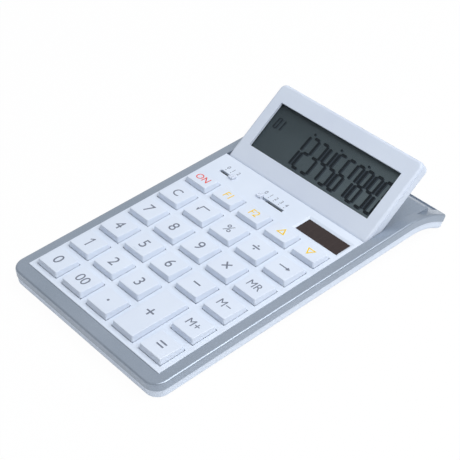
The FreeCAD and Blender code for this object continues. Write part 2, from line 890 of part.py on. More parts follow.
def make_keypad_rubber():
    """One rubber sheet on the board, with a dome that carries each key."""
    front = d.board_front
    sheet_block = block("rubber_sheet", (-half_rubber, front, board_top),
                        (half_rubber, front + d.rubber_length, rubber_top))
    domes = [
        frustum(f"{label}_dome", (key.x, key.y, rubber_top), d.dome_base_radius, d.dome_top_radius,
                flange_under - rubber_top)
        for label, key in keys.items()
    ]
    passages = [
        rod(f"rubber_passage_{i}", (x, y, board_top - OVERCUT), d.board_boss_radius + d.screw_play * 2,
            d.rubber_thickness + OVERCUT * 2)
        for i, (x, y) in enumerate(board_screw_places)
    ]
    rubber = cut("rubber_form", fuse("rubber_whole", [sheet_block] + domes), passages)
    hand_in(rubber, "keypad_rubber")


def make_main_board():
    """Circuit board under the keys, with a strip to the rear for the switches, and its chip."""
    main = block("board_main", (-half_board, d.board_front, board_under),
                 (half_board, board_rear, board_top))
    strip = block("board_strip", (-half_board, board_rear, board_under),
                  (board_strip_end, board_rear + d.board_strip_length, board_top))
    holes = [
        rod(f"board_hole_{i}", (x, y, board_under - OVERCUT), d.board_screw_radius + d.screw_play,
            d.board_thickness + OVERCUT * 2)
        for i, (x, y) in enumerate(board_screw_places)
    ]
    hand_in(cut("board_form", fuse("board_whole", [main, strip]), holes), "main_board")
    chip = frustum("chip_form", (size(0), d.chip_from_front, board_under - d.chip_height),
                   d.chip_radius - d.chip_height, d.chip_radius, d.chip_height)
    hand_in(chip, "controller_chip")


def make_solar_cell():
    """Solar cell that stands up into its window from under the plate, and its two leads to the board."""
    place = (solar_x, d.solar_from_front)
    cell_under_side = plate_under - d.solar_thickness
    base = centred_block("solar_base", place, d.solar_width + d.solar_overlap * 2,
                         d.solar_length + d.solar_overlap * 2, cell_under_side, plate_under)
    face = centred_block("solar_face", place, d.solar_width - d.plate_fit * 2,
                         d.solar_length - d.plate_fit * 2, cell_under_side, -d.solar_recess)
    hand_in(fuse("solar_form", [base, face]), "solar_cell")
    lead_x = solar_x - d.solar_width / 2 + d.solar_lead_inset
    leads = [
        rod(f"solar_lead_{name}", (lead_x, d.solar_from_front + d.solar_lead_spread / 2 * side, board_top),
            d.solar_lead_radius, cell_under_side - board_top)
        for name, side in SIDES.items()
    ]
    hand_in(group("solar_lead_pair", leads), "solar_leads")


def make_switch(name, switch):
    """A slide switch: ribbed knob above the plate, slider below it, and the wiper that it carries."""
    place = (switch.knob_x, d.switch_from_front)
    knob = centred_block(f"{name}_knob", place, d.knob_width, d.knob_length, d.flange_gap, d.knob_rise)
    knob = round_edges(
        f"{name}_knob_rounded",
        knob,
        lambda edge: d.knob_edge_radius
        if all(abs(p.z - d.knob_rise.value) < SAME for p in edge_points(edge))
        else None,
    )
    stem = centred_block(f"{name}_stem", place, d.knob_width, d.slot_width - d.stem_play * 2, flange_top,
                         d.flange_gap)
    slider_under = flange_top - d.slider_height
    slider_width = d.knob_width + d.slider_reach * 2
    slider = centred_block(f"{name}_slider", place, slider_width, d.slider_length, slider_under, flange_top)
    ribs = [
        centred_block(f"{name}_rib_{edge}",
                      (switch.knob_x + d.knob_rib_pitch / 2 * side, d.switch_from_front), d.knob_rib_gap,
                      d.knob_length + OVERCUT, d.knob_rise - d.knob_rib_depth, d.knob_rise + OVERCUT)
        for edge, side in SIDES.items()
    ]
    whole = fuse(f"{name}_whole", [knob, stem, slider])
    hand_in(cut(f"{name}_form", whole, ribs), f"{name}_switch")
    strip_under = slider_under - d.wiper_thickness
    strip = centred_block(f"{name}_strip", place, slider_width, d.wiper_length, strip_under, slider_under)
    legs = [
        centred_block(f"{name}_leg_{edge}",
                      (switch.knob_x + (slider_width - d.wiper_thickness) / 2 * side, d.switch_from_front),
                      d.wiper_thickness, d.wiper_length, board_top + d.press_play, slider_under)
        for edge, side in SIDES.items()
    ]
    hand_in(fuse(f"{name}_contact_form", [strip] + legs), f"{name}_wiper")


# Levels of the display head, about its hinge axis: its face is up
bezel_under = half_head - d.bezel_depth
lens_under = bezel_under - d.lens_thickness
glass_under = lens_under - d.glass_thickness
back_floor = -half_head + d.head_wall
screw_seat = -half_head + d.screw_head_height
window_middle = d.window_from_hinge + window_length / 2
bush_radius = d.pin_radius + d.pin_play + d.bush_wall
head_place = Placement(
    Vector(0, hinge_y.value, hinge_z.value),
    Rotation(Vector(1, 0, 0), d.display_tilt.value),
)


def head_outer(name, step):
    """The head's outside: a slab with a round hinge end and soft edges, drawn in by a step."""
    side = half_head_width - step
    reach = d.head_reach - step
    slab = block(f"{name}_slab", (-side, size(0), -half_head), (side, reach, half_head))
    slab = round_edges(
        f"{name}_corners",
        slab,
        lambda edge: d.head_corner_radius
        if runs_along(edge, 2) and edge_points(edge)[0].y > reach.value - SAME
        else None,
    )
    barrel = rod(f"{name}_barrel", (-side, size(0), size(0)), half_head, side * 2, "x")
    whole = fuse(f"{name}_whole", [slab, barrel])
    whole.Refine = True

    def radii(edge):
        points = edge_points(edge)
        upright = runs_along(edge, 2)
        across = runs_along(edge, 0) and points[0].y < reach.value - SAME
        return None if upright or across else d.head_edge_radius

    return round_edges(f"{name}_soft", whole, radii)


def make_display_bezel():
    """White front of the display head, with the window opening and the screw bosses."""
    outer = head_outer("bezel_outer", d.bezel_step)
    front = block("bezel_front", (-half_head_width, -d.head_thickness, bezel_under),
                  (half_head_width, d.head_reach, half_head))
    plate = common("bezel_plate", outer, front)
    bosses = [
        rod(f"bezel_boss_{i}", (x, y, back_floor), d.display_boss_radius,
            bezel_under - back_floor + d.bezel_depth / 2)
        for i, (x, y) in enumerate(display_screw_places)
    ]
    opening = centred_block("bezel_opening", (0, window_middle), window_width, window_length, -half_head,
                            d.head_thickness)
    pilots = [
        rod(f"bezel_pilot_{i}", (x, y, back_floor - OVERCUT), d.board_screw_radius + d.press_play,
            d.display_screw_reach + OVERCUT)
        for i, (x, y) in enumerate(display_screw_places)
    ]
    whole = fuse("bezel_whole", [plate] + bosses)
    hand_in(cut("bezel_form", whole, [opening] + pilots), "display_bezel", head_place)


def make_display_back():
    """White rear cover of the display head: a tray with the hinge bores at its round end."""
    outer = head_outer("back_outer", size(0))
    front = block("back_front", (-half_well, -d.head_thickness, bezel_under),
                  (half_well, d.head_reach * 2, d.head_thickness))
    cavity = block("back_cavity", (-half_head_width + d.head_wall, half_head, back_floor),
                   (half_head_width - d.head_wall, d.head_reach - d.head_wall, half_head))
    cable_slot = block("back_cable_slot",
                       (-d.cable_width / 2 - d.cable_play, -d.head_thickness,
                        glass_under - d.cable_thickness - d.cable_play),
                       (d.cable_width / 2 + d.cable_play, half_head + OVERCUT, glass_under + d.cable_play))
    tray = cut("back_tray", outer, [fuse("back_spaces", [front, cavity, cable_slot])])
    bore_length = d.bush_length + d.press_play
    bores = [
        rod("back_bore_left", (-half_head_width - OVERCUT, size(0), size(0)), bush_radius + d.press_play,
            bore_length + OVERCUT, "x"),
        rod("back_bore_right", (half_head_width - bore_length, size(0), size(0)), bush_radius + d.press_play,
            bore_length + OVERCUT, "x"),
    ]
    sinks = []
    holes = []
    for i, (x, y) in enumerate(display_screw_places):
        sinks.append(rod(f"back_sink_{i}", (x, y, -d.head_thickness),
                         d.board_screw_head_radius + d.screw_play, screw_seat + d.head_thickness))
        holes.append(rod(f"back_hole_{i}", (x, y, -d.head_thickness), d.board_screw_radius + d.screw_play,
                         d.head_thickness))
    hand_in(cut("back_form", cut("back_bored", tray, sinks + bores), holes), "display_back", head_place)


def make_display_inside():
    """Clear window, LCD glass, foam cushion, ribbon stretch, screws and bushes of the head."""
    def layer(name, overlap, bottom, top):
        piece = centred_block(f"{name}_form", (0, window_middle), window_width + overlap * 2,
                              window_length + overlap * 2, bottom, top)
        hand_in(piece, name, head_place)

    layer("display_window", d.lens_overlap, lens_under, bezel_under)
    layer("lcd_glass", d.glass_overlap, glass_under, lens_under)
    layer("lcd_cushion", -d.cushion_inset, back_floor, glass_under)
    cable = block("cable_in_head",
                  (-d.cable_width / 2, d.cable_play - half_head, glass_under - d.cable_thickness),
                  (d.cable_width / 2, d.window_from_hinge, glass_under))
    hand_in(cable, "display_cable_head", head_place)
    screws = [
        screw(f"display_screw_{i}", (x, y, screw_seat), d.board_screw_radius, d.board_screw_head_radius,
              back_floor - screw_seat + d.display_screw_reach - d.screw_play)
        for i, (x, y) in enumerate(display_screw_places)
    ]
    hand_in(group("display_screw_set", screws), "display_screws", head_place)
    bushes = []
    for name, start in (("left", -half_head_width), ("right", half_head_width - d.bush_length)):
        outside = rod(f"bush_{name}_outside", (start, size(0), size(0)), bush_radius, d.bush_length, "x")
        inside = rod(f"bush_{name}_inside", (start - OVERCUT, size(0), size(0)), d.pin_radius + d.pin_play,
                     d.bush_length + OVERCUT * 2, "x")
        slit = block(f"bush_{name}_slit", (start - OVERCUT, -bush_radius * 2, -d.bush_slit / 2),
                     (start + d.bush_length + OVERCUT, size(0), d.bush_slit / 2))
        bushes.append(cut(f"bush_{name}", outside, [fuse(f"bush_{name}_spaces", [inside, slit])]))
    hand_in(group("bush_pair", bushes), "hinge_bushes", head_place)


def make_case_inside():
    """Hinge pins, ribbon stretch and screws of the case."""
    pin_length = d.pin_in_rail + d.head_side_gap + d.pin_in_head
    pins = [
        rod(f"hinge_pin_{name}", (start, hinge_y, hinge_z), d.pin_radius, pin_length, "x")
        for name, start in (("left", -half_well - d.pin_in_rail), ("right", half_head_width - d.pin_in_head))
    ]
    hand_in(group("hinge_pin_pair", pins), "hinge_pins")
    cable_start = board_rear + d.board_strip_length - d.cable_on_board
    cable = block("cable_in_case", (-d.cable_width / 2, cable_start, board_top),
                  (d.cable_width / 2, plate_rear, board_top + d.cable_thickness))
    hand_in(cable, "display_cable_base")
    seat = case_bottom + d.case_screw_sink
    case_screws = [
        screw(f"case_screw_{i}", (x, y, seat), d.screw_radius, d.screw_head_radius,
              -d.case_boss_joint - seat + d.case_screw_reach - d.screw_play)
        for i, (x, y) in enumerate(case_screw_places)
    ]
    hand_in(group("case_screw_set", case_screws), "case_screws")
    board_screws = [
        screw(f"board_screw_{i}", (x, y, board_under), d.board_screw_radius, d.board_screw_head_radius,
              d.board_thickness + d.board_screw_reach - d.screw_play)
        for i, (x, y) in enumerate(board_screw_places)
    ]
    hand_in(group("board_screw_set", board_screws), "board_screws")


def make_battery():
    """Button cell in its bay, the contact strips over and under it, and the door below."""
    cell = rod("cell_blank", (cell_x, cell_y, cell_under), d.cell_radius, d.cell_height)
    cell = round_edges("cell_form", cell, lambda edge: d.cell_edge_radius if edge.isClosed() else None)
    hand_in(cell, "button_cell")
    board_end = board_strip_end - d.contact_on_board
    cell_end = cell_x + d.contact_width / 2
    over = board_top + d.contact_thickness
    strip = block("contact_over_cell", (board_end, cell_y, board_top),
                  (cell_end, cell_y + d.contact_width, over))
    hand_in(strip, "battery_contact_top")
    front = cell_y - d.contact_width
    rear = cell_y - d.contact_thickness
    bay_side = cell_x - d.cell_radius - d.cell_play
    riser_end = bay_side + d.contact_thickness
    door_top = case_bottom + d.door_thickness
    bent_strip = [
        block("contact_under_cell", (bay_side, front, door_top), (cell_end, rear, cell_under)),
        block("contact_riser", (bay_side, front, door_top), (riser_end, rear, over)),
        block("contact_on_board", (board_end, front, board_top), (riser_end, rear, over)),
    ]
    hand_in(fuse("contact_bent_strip", bent_strip), "battery_contact_bottom")
    slab = centred_block("door_slab", (cell_x, cell_y), d.door_width, d.door_length, case_bottom, door_top)
    last_grip = cell_x + d.door_width / 2 - d.door_grip_inset
    grips = [
        centred_block(f"door_grip_{i}", (last_grip - d.door_grip_pitch * i, cell_y), d.door_grip_width,
                      d.door_grip_length, case_bottom - OVERCUT, case_bottom + d.door_grip_depth)
        for i in range(DOOR_GRIPS)
    ]
    hand_in(cut("door_form", slab, grips), "battery_door")


# The desk under the feet, as a line in the side view of the case
case_depth = frame_top - case_bottom
tail_corner = tail_point(frame_top, d.tail_length, case_depth * slope_y)
desk_front = (d.front_foot_from_front, case_bottom - d.front_foot_height)
desk_rear = (tail_corner[0], tail_corner[1] - d.rear_foot_clearance)
desk_fall = (desk_rear[1] - desk_front[1]) / (desk_rear[0] - desk_front[0])
desk_incline = math.degrees(math.atan(-desk_fall.value))


def desk_height(y):
    return desk_front[1] + (size(y) - desk_front[0]) * desk_fall


def make_feet():
    """Rubber feet: two round pads at the front, two wedges under the tail, all cut to the desk."""
    far = d.bend_from_front + d.tail_length * 2
    desk = side_prism(
        "desk_cutter",
        [
            (-d.tail_length, desk_height(-d.tail_length)),
            (far, desk_height(far)),
            (far, desk_height(far) - d.tail_length),
            (-d.tail_length, desk_height(-d.tail_length) - d.tail_length),
        ],
        d.case_width * 2,
    )
    thick = d.front_foot_height * 2
    pads = [
        rod(f"front_pad_{name}", (foot_x * side, d.front_foot_from_front, case_bottom - thick),
            d.front_foot_radius, thick)
        for name, side in SIDES.items()
    ]
    hand_in(cut("front_feet_form", group("front_pads", pads), [desk]), "front_feet")
    last = d.tail_length - d.rear_foot_setback
    rear_top = tail_point(frame_top, last, case_depth * slope_y)
    front_top = tail_point(frame_top, last - d.rear_foot_length, case_depth * slope_y)
    wedge_outline = [
        front_top,
        rear_top,
        (rear_top[0], rear_top[1] - d.tail_length),
        (front_top[0], front_top[1] - d.tail_length),
    ]
    wedges = []
    for name, side in SIDES.items():
        wedge = side_prism(f"rear_wedge_{name}", wedge_outline, d.rear_foot_width)
        wedges.append(bind(wedge, Placement__Base__x=foot_x * side))
    hand_in(cut("rear_feet_form", group("rear_wedges", wedges), [desk]), "rear_feet")


make_top_frame()
make_bottom_case()
make_key_plate()
make_keys()
make_keypad_rubber()
make_main_board()
make_solar_cell()
for name, switch in switches.items():
    make_switch(name, switch)
make_display_bezel()
make_display_back()
make_display_inside()
make_case_inside()
make_battery()
make_feet()
doc.recompute()

# Set the calculator down: tipped by its feet, with the origin under the middle of its box
tip = Placement(Vector(), Rotation(Vector(1, 0, 0), desk_incline))
for piece, local in subparts.values():
    piece.Placement = tip.multiply(local)
doc.recompute()
boxes = [piece.Shape.optimalBoundingBox() for piece, local in subparts.values()]
middle_y = (min(box.YMin for box in boxes) + max(box.YMax for box in boxes)) / 2
lowest_z = min(box.ZMin for box in boxes)
stand = Placement(Vector(0, -middle_y, -lowest_z), Rotation()).multiply(tip)
for piece, local in subparts.values():
    piece.Placement = stand.multiply(local)
doc.recompute()

faults = [item.Name for item in doc.Objects if "Invalid" in item.State or "Error" in item.State]
for label, (piece, local) in subparts.items():
    if piece.Shape.isNull() or not piece.Shape.isValid() or not piece.Shape.Solids:
        faults.append(label)
if faults:
    raise RuntimeError("failed: " + ", ".join(faults))

os.makedirs("parts", exist_ok=True)
for label, (piece, local) in subparts.items():
    piece.Shape.exportStep(f"parts/{label}.step")

hinge_point = stand.multVec(Vector(0, hinge_y.value, hinge_z.value))
print(f"sub-parts {len(subparts)}, incline {desk_incline:.4f} degrees")
print(f"stand shift {stand.Base.x:.4f} {stand.Base.y:.4f} {stand.Base.z:.4f}")
print(f"hinge axis at {hinge_point.x:.4f} {hinge_point.y:.4f} {hinge_point.z:.4f}")
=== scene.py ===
import json
import math

import bmesh
import bpy
from mathutils import Matrix, Vector


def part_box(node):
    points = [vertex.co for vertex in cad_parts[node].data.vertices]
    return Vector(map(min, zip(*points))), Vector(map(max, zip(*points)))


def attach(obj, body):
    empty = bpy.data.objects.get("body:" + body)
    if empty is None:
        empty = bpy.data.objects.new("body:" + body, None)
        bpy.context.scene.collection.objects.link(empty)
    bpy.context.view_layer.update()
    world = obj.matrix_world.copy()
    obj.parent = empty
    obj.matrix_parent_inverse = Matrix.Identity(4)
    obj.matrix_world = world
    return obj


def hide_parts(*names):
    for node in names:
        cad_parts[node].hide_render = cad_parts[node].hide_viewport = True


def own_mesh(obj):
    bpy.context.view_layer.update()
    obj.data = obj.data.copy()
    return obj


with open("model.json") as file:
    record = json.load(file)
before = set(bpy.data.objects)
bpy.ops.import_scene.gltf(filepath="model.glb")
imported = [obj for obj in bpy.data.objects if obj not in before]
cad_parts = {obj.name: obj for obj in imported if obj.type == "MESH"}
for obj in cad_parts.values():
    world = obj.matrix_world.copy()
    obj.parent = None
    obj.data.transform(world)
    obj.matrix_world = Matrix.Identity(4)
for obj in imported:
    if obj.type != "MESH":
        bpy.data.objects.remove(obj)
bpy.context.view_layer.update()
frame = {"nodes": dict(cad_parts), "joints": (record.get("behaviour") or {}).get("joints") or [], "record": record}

# Lengths here are metres. The case has a frame of its own: x from the middle, y from the front edge,
# z from the plate's surface. The display head has one about its hinge.
MM = 0.001
HINGE_IN_CASE = Vector((0, 129.5, -3.2)) * MM
DISPLAY_TILT = math.radians(32.67)
GLASS_FACE = 1.0 * MM
WINDOW_WIDTH = 82.2 * MM
KEY_RISE_FRONT = 3.0 * MM
KEY_RISE_REAR = 2.2 * MM
PRINT_THICKNESS = 0.03 * MM

joints = {joint["name"]: joint for joint in frame["joints"]}
press_axis = joints["key_5_press"]["axis"]
incline = math.atan2(press_axis[1], -press_axis[2])
tip = Matrix.Rotation(incline, 4, "X")
hinge = Vector(joints["display_hinge"]["pos_m"])
CASE = Matrix.Translation(hinge - tip @ HINGE_IN_CASE) @ tip
HEAD = Matrix.Translation(hinge) @ Matrix.Rotation(incline + DISPLAY_TILT, 4, "X")
CASE_FROM_ROW = CASE.inverted()


# Colours and finishes


def srgb(red, green, blue):
    """A colour given as eight-bit display values, made linear."""
    def linear(value):
        share = value / 255
        return share / 12.92 if share <= 0.04045 else ((share + 0.055) / 1.055) ** 2.4
    return (linear(red), linear(green), linear(blue), 1)


def lighter(color, gain, lift):
    """A linear colour raised towards white."""
    return tuple(min(1.0, value * gain + lift) for value in color[:3]) + (1,)


class Value:
    """A socket's number, with the operators that build Math nodes."""

    def __init__(self, finish, socket):
        self.finish = finish
        self.socket = socket

    def combine(self, operation, other):
        return self.finish.node("ShaderNodeMath", {"operation": operation}, {0: self, 1: other})

    def __sub__(self, other):
        return self.combine("SUBTRACT", other)

    def __mul__(self, other):
        return self.combine("MULTIPLY", other)


class Finish:
    """A node material with one Principled shader."""

    def __init__(self, name, color, roughness, **constants):
        self.material = bpy.data.materials.new(name)
        self.material.use_nodes = True
        self.tree = self.material.node_tree
        self.shader = self.tree.nodes["Principled BSDF"]
        self.set(Base_Color=color, Roughness=roughness, **constants)
        self.place = self.node("ShaderNodeTexCoord", output="Object")

    def set(self, **values):
        """Set or link the shader's inputs, named with underscores for spaces."""
        for name, value in values.items():
            self.feed(self.shader.inputs[name.replace("_", " ")], value)

    def feed(self, socket, value):
        if isinstance(value, Value):
            self.tree.links.new(value.socket, socket)
        else:
            socket.default_value = value

    def node(self, kind, settings=None, inputs=None, output=0):
        """Add a node: its settings first, then its inputs, and give back one output."""
        made = self.tree.nodes.new(kind)
        for name, value in (settings or {}).items():
            setattr(made, name, value)
        for name, value in (inputs or {}).items():
            self.feed(made.inputs[name], value)
        return Value(self, made.outputs[output])

    def noise(self, scale, detail=2.0):
        inputs = {"Vector": self.place, "Scale": scale, "Detail": detail}
        return self.node("ShaderNodeTexNoise", None, inputs)

    def mix(self, factor, first, second):
        """A colour between two, by a factor. The numbers are the node's sockets for colours."""
        inputs = {0: factor, 6: first, 7: second}
        return self.node("ShaderNodeMix", {"data_type": "RGBA"}, inputs, 2)

    def spread(self, value, low, high, start=0.3, end=0.7):
        """A value carried from one range, at first that of noise, to another, and held at the ends."""
        limits = {"From Min": start, "From Max": end, "To Min": low, "To Max": high}
        return self.node("ShaderNodeMapRange", {"clamp": True}, {"Value": value, **limits})

    def bump(self, height, strength, distance):
        inputs = {"Height": height, "Strength": strength, "Distance": distance}
        self.set(Normal=self.node("ShaderNodeBump", None, inputs))

    def across(self):
        """The place along x."""
        return self.node("ShaderNodeSeparateXYZ", None, {0: self.place}, "X")


def moulded_plastic(name, color, shade, roughness, grain):
    """Moulded plastic: a fine sparked texture, faint clouding and uneven gloss."""
    finish = Finish(name, color, roughness, Specular_IOR_Level=0.45)
    cloud = finish.noise(scale=38)
    sparks = finish.noise(scale=5200, detail=3.0)
    finish.set(Base_Color=finish.mix(finish.spread(cloud, 0.0, 1.0), color, shade))
    finish.set(Roughness=finish.spread(sparks, roughness - 0.05, roughness + 0.07))
    finish.bump(sparks, strength=grain, distance=0.04 * MM)
    return finish


def silver_paint():
    """Satin silver paint: fine bright flakes in a grey ground under a clear coat."""
    finish = Finish("silver_paint", srgb(160, 170, 184), 0.36, Metallic=0.55, Coat_Weight=0.75,
                    Coat_Roughness=0.14)
    cells = {"Vector": finish.place, "Scale": 7000.0}
    flakes = finish.node("ShaderNodeTexVoronoi", None, cells, "Color")
    sparkle = finish.node("ShaderNodeSeparateColor", None, {"Color": flakes})
    cloud = finish.noise(scale=24)
    ground = finish.mix(finish.spread(cloud, 0.0, 1.0), srgb(142, 154, 168), srgb(151, 162, 176))
    flake_share = finish.spread(sparkle, 0.0, 0.2, start=0.55, end=1.0)
    finish.set(Base_Color=finish.mix(flake_share, ground, srgb(214, 220, 230)))
    finish.set(Roughness=finish.spread(sparkle, 0.3, 0.44, start=0.0, end=1.0))
    finish.bump(sparkle, strength=0.05, distance=0.02 * MM)
    return finish


def lcd_panel():
    """Grey liquid crystal panel with a faint film grain and a tone that shifts along it."""
    finish = Finish("lcd_panel", srgb(72, 82, 87), 0.3, Specular_IOR_Level=0.3)
    along = finish.spread(finish.across(), 0.0, 1.0, start=-WINDOW_WIDTH / 2, end=WINDOW_WIDTH / 2)
    grain = finish.noise(scale=2600)
    ground = finish.mix(along, srgb(64, 74, 79), srgb(92, 104, 108))
    finish.set(Base_Color=finish.mix(finish.spread(grain, 0.0, 0.12), ground, srgb(104, 116, 118)))
    finish.set(Roughness=finish.spread(grain, 0.26, 0.36))
    return finish


def clear_window():
    """Clear moulded window that shows mostly by its gloss."""
    finish = Finish("window_clear", srgb(18, 24, 28), 0.05, Alpha=0.05, IOR=1.49)
    finish.set(Roughness=finish.spread(finish.noise(scale=60), 0.03, 0.07))
    return finish


SOLAR_STRIPS = 4
SOLAR_LINE_TONE = 0.06


def solar_glass():
    """Dark cell glass, brown-black, with very faint lines between its strips."""
    finish = Finish("solar_glass", srgb(58, 46, 44), 0.12, Specular_IOR_Level=0.2, Coat_Weight=0.05,
                    Coat_Roughness=0.04)
    low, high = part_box("solar_cell")
    strip = finish.spread(finish.across(), 0.0, float(SOLAR_STRIPS), start=low[0], end=high[0])
    within = finish.node("ShaderNodeMath", {"operation": "FRACT"}, {0: strip})
    off_middle = finish.node("ShaderNodeMath", {"operation": "ABSOLUTE"}, {0: within - 0.5})
    line = finish.spread(off_middle, 0.0, 1.0, start=0.465, end=0.485)
    grain = finish.noise(scale=900)
    ground = finish.mix(finish.spread(grain, 0.0, 1.0), srgb(51, 41, 40), srgb(55, 45, 43))
    finish.set(Base_Color=finish.mix(line * SOLAR_LINE_TONE, ground, srgb(110, 98, 92)))
    finish.set(Roughness=finish.spread(grain, 0.1, 0.18))
    return finish


def printed_ink(name, color):
    """Pad-printed ink, slightly uneven in tone."""
    finish = Finish(name, color, 0.5, Specular_IOR_Level=0.3)
    grain = finish.noise(scale=3000)
    paler = lighter(color, gain=1.25, lift=0.01)
    finish.set(Base_Color=finish.mix(finish.spread(grain, 0.0, 0.5), color, paler))
    finish.set(Roughness=finish.spread(grain, 0.44, 0.58))
    return finish


def soft_rubber(name, color):
    """Matt rubber with a fine dusty grain."""
    finish = Finish(name, color, 0.8, Specular_IOR_Level=0.25)
    grain = finish.noise(scale=1800, detail=4.0)
    dusty = lighter(color, gain=1.5, lift=0.02)
    finish.set(Base_Color=finish.mix(finish.spread(grain, 0.0, 0.6), color, dusty))
    finish.set(Roughness=finish.spread(grain, 0.7, 0.9))
    finish.bump(grain, strength=0.2, distance=0.05 * MM)
    return finish


def plated_metal(name, color, roughness):
    """Plated metal with fine drawing lines."""
    finish = Finish(name, color, roughness, Metallic=1.0)
    drawn_out = {"Vector": finish.place, "Scale": (300, 6000, 6000)}
    stretched = finish.node("ShaderNodeMapping", None, drawn_out)
    streaks = {"Vector": stretched, "Scale": 1.0, "Detail": 3.0}
    lines = finish.node("ShaderNodeTexNoise", None, streaks)
    finish.set(Roughness=finish.spread(lines, roughness - 0.08, roughness + 0.12))
    finish.bump(lines, strength=0.08, distance=0.02 * MM)
    return finish


FINISHES = {
    "silver_plastic": silver_paint(),
    "white_plastic": moulded_plastic("case_white", srgb(219, 227, 239), srgb(213, 222, 235), 0.46, 0.12),
    "key_white": moulded_plastic("key_white", srgb(218, 226, 238), srgb(213, 221, 234), 0.42, 0.06),
    "clear_window": clear_window(),
    "lcd": lcd_panel(),
    "solar_panel": solar_glass(),
    "rubber": soft_rubber("foot_rubber", srgb(52, 53, 56)),
    "keypad_rubber": soft_rubber("keypad_silicone", srgb(150, 154, 160)),
    "circuit_board": moulded_plastic("board_green", srgb(34, 92, 58), srgb(28, 80, 50), 0.4, 0.1),
    "chip_resin": moulded_plastic("resin_black", srgb(20, 20, 22), srgb(28, 28, 30), 0.3, 0.1),
    "foam": soft_rubber("foam_grey", srgb(90, 91, 94)),
    "ribbon": moulded_plastic("ribbon_film", srgb(205, 198, 176), srgb(196, 188, 164), 0.4, 0.05),
    "steel": plated_metal("plated_steel", srgb(190, 192, 196), 0.3),
    "brass": plated_metal("spring_bronze", srgb(196, 164, 110), 0.32),
    "switch_grey": moulded_plastic("knob_grey", srgb(222, 228, 238), srgb(214, 221, 233), 0.4, 0.06),
}
# The display head is the case's white plastic. Its darker colour is painted shade, standing in for the lower light
# on its forward-tilted face.
HEAD_WHITE_PAINTED_SHADE = moulded_plastic("head_white_painted_shade", srgb(210, 218, 230), srgb(205, 213, 227), 0.46, 0.12)
NODE_FINISHES = {"display_bezel": HEAD_WHITE_PAINTED_SHADE, "display_back": HEAD_WHITE_PAINTED_SHADE}
INK = {
    "grey": printed_ink("ink_grey", srgb(112, 118, 132)),
    "red": printed_ink("ink_red", srgb(222, 84, 74)),
    "orange": printed_ink("ink_orange", srgb(238, 198, 10)),
}
SEGMENT_DARK = printed_ink("lcd_segment", srgb(6, 16, 24))
# The figures' shade is painted shadow: a dark copy of each figure, shifted aside on the panel, in the ink finish.
SEGMENT_SHADE = printed_ink("lcd_segment_shade", srgb(48, 58, 66))

for subpart in frame["record"]["subparts"]:
    node_finish = NODE_FINISHES.get(subpart["node"], FINISHES[subpart["material_slot"]])
    for holder in frame["nodes"][subpart["node"]].material_slots:
        holder.material = node_finish.material


# Pieces that the scene adds

DOT_SIDES = 24
LETTER_CURVE_STEPS = 6
ARROW_SHARES = {"bar": 0.8, "bar_back": 0.1, "head": 0.2, "head_ahead": 0.35}


def deselect():
    bpy.ops.object.select_all(action="DESELECT")


def settle(piece, name, body, finish, place):
    """Give a new piece its name, finish and place, and set it riding on its body."""
    piece.name = name
    piece.data.name = name
    piece.data.materials.clear()
    piece.data.materials.append(finish.material)
    piece.data.transform(place @ piece.matrix_world)
    piece.matrix_world = Matrix()
    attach(piece, body)
    return piece


def node_place(label):
    """The middle of a CAD node's box, in the case's frame, and the box's length from front to rear."""
    low, high = (Vector(corner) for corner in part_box(label))
    return CASE_FROM_ROW @ ((low + high) / 2), high.y - low.y


def lettering(text, height):
    """Words as a thin raised mesh about the origin."""
    deselect()
    bpy.ops.object.text_add()
    words = bpy.context.object
    words.data.body = text
    words.data.align_x = "CENTER"
    words.data.align_y = "CENTER"
    words.data.size = height
    words.data.extrude = PRINT_THICKNESS
    words.data.resolution_u = LETTER_CURVE_STEPS
    bpy.ops.object.convert(target="MESH")
    words = bpy.context.object
    across, along, _ = zip(*(corner.co for corner in words.data.vertices))
    middle = Vector((min(across) + max(across), min(along) + max(along), 0)) / 2
    words.data.transform(Matrix.Translation(-middle))
    return words


def thickened():
    """The flat piece at hand, drawn up to the thickness of print."""
    bpy.ops.object.mode_set(mode="EDIT")
    bpy.ops.mesh.select_all(action="SELECT")
    bpy.ops.mesh.extrude_region_move(TRANSFORM_OT_translate={"value": (0, 0, PRINT_THICKNESS)})
    bpy.ops.mesh.normals_make_consistent(inside=False)
    bpy.ops.object.mode_set(mode="OBJECT")
    return bpy.context.object


def dot(radius):
    """A round printed spot."""
    deselect()
    bpy.ops.mesh.primitive_circle_add(vertices=DOT_SIDES, radius=radius, fill_type="NGON")
    return thickened()


def triangle_outline(radius, stroke):
    """An upright triangle drawn in outline."""
    deselect()
    bpy.ops.mesh.primitive_circle_add(vertices=3, radius=radius, fill_type="NGON")
    bpy.ops.object.mode_set(mode="EDIT")
    bpy.ops.mesh.inset(thickness=stroke)
    bpy.ops.mesh.delete(type="ONLY_FACE")
    return thickened()


def joined(bars):
    """Several meshes as one."""
    deselect()
    for bar in bars:
        bar.select_set(True)
    bpy.context.view_layer.objects.active = bars[0]
    bpy.ops.object.join()
    return bars[0]


def drawn_line(path, width):
    """A line along the points of a path, made of thin bars."""
    bars = []
    for start, end in zip(path, path[1:]):
        run = Vector(end) - Vector(start)
        middle = Vector(start) + run / 2
        turn = Matrix.Rotation(math.atan2(run.y, run.x), 4, "Z")
        deselect()
        bpy.ops.mesh.primitive_plane_add(size=1)
        bpy.ops.object.mode_set(mode="EDIT")
        bpy.ops.transform.resize(value=(run.length + width, width, 1))
        bars.append(thickened())
        bars[-1].data.transform(Matrix.Translation((middle.x, middle.y, 0)) @ turn)
    return joined(bars)


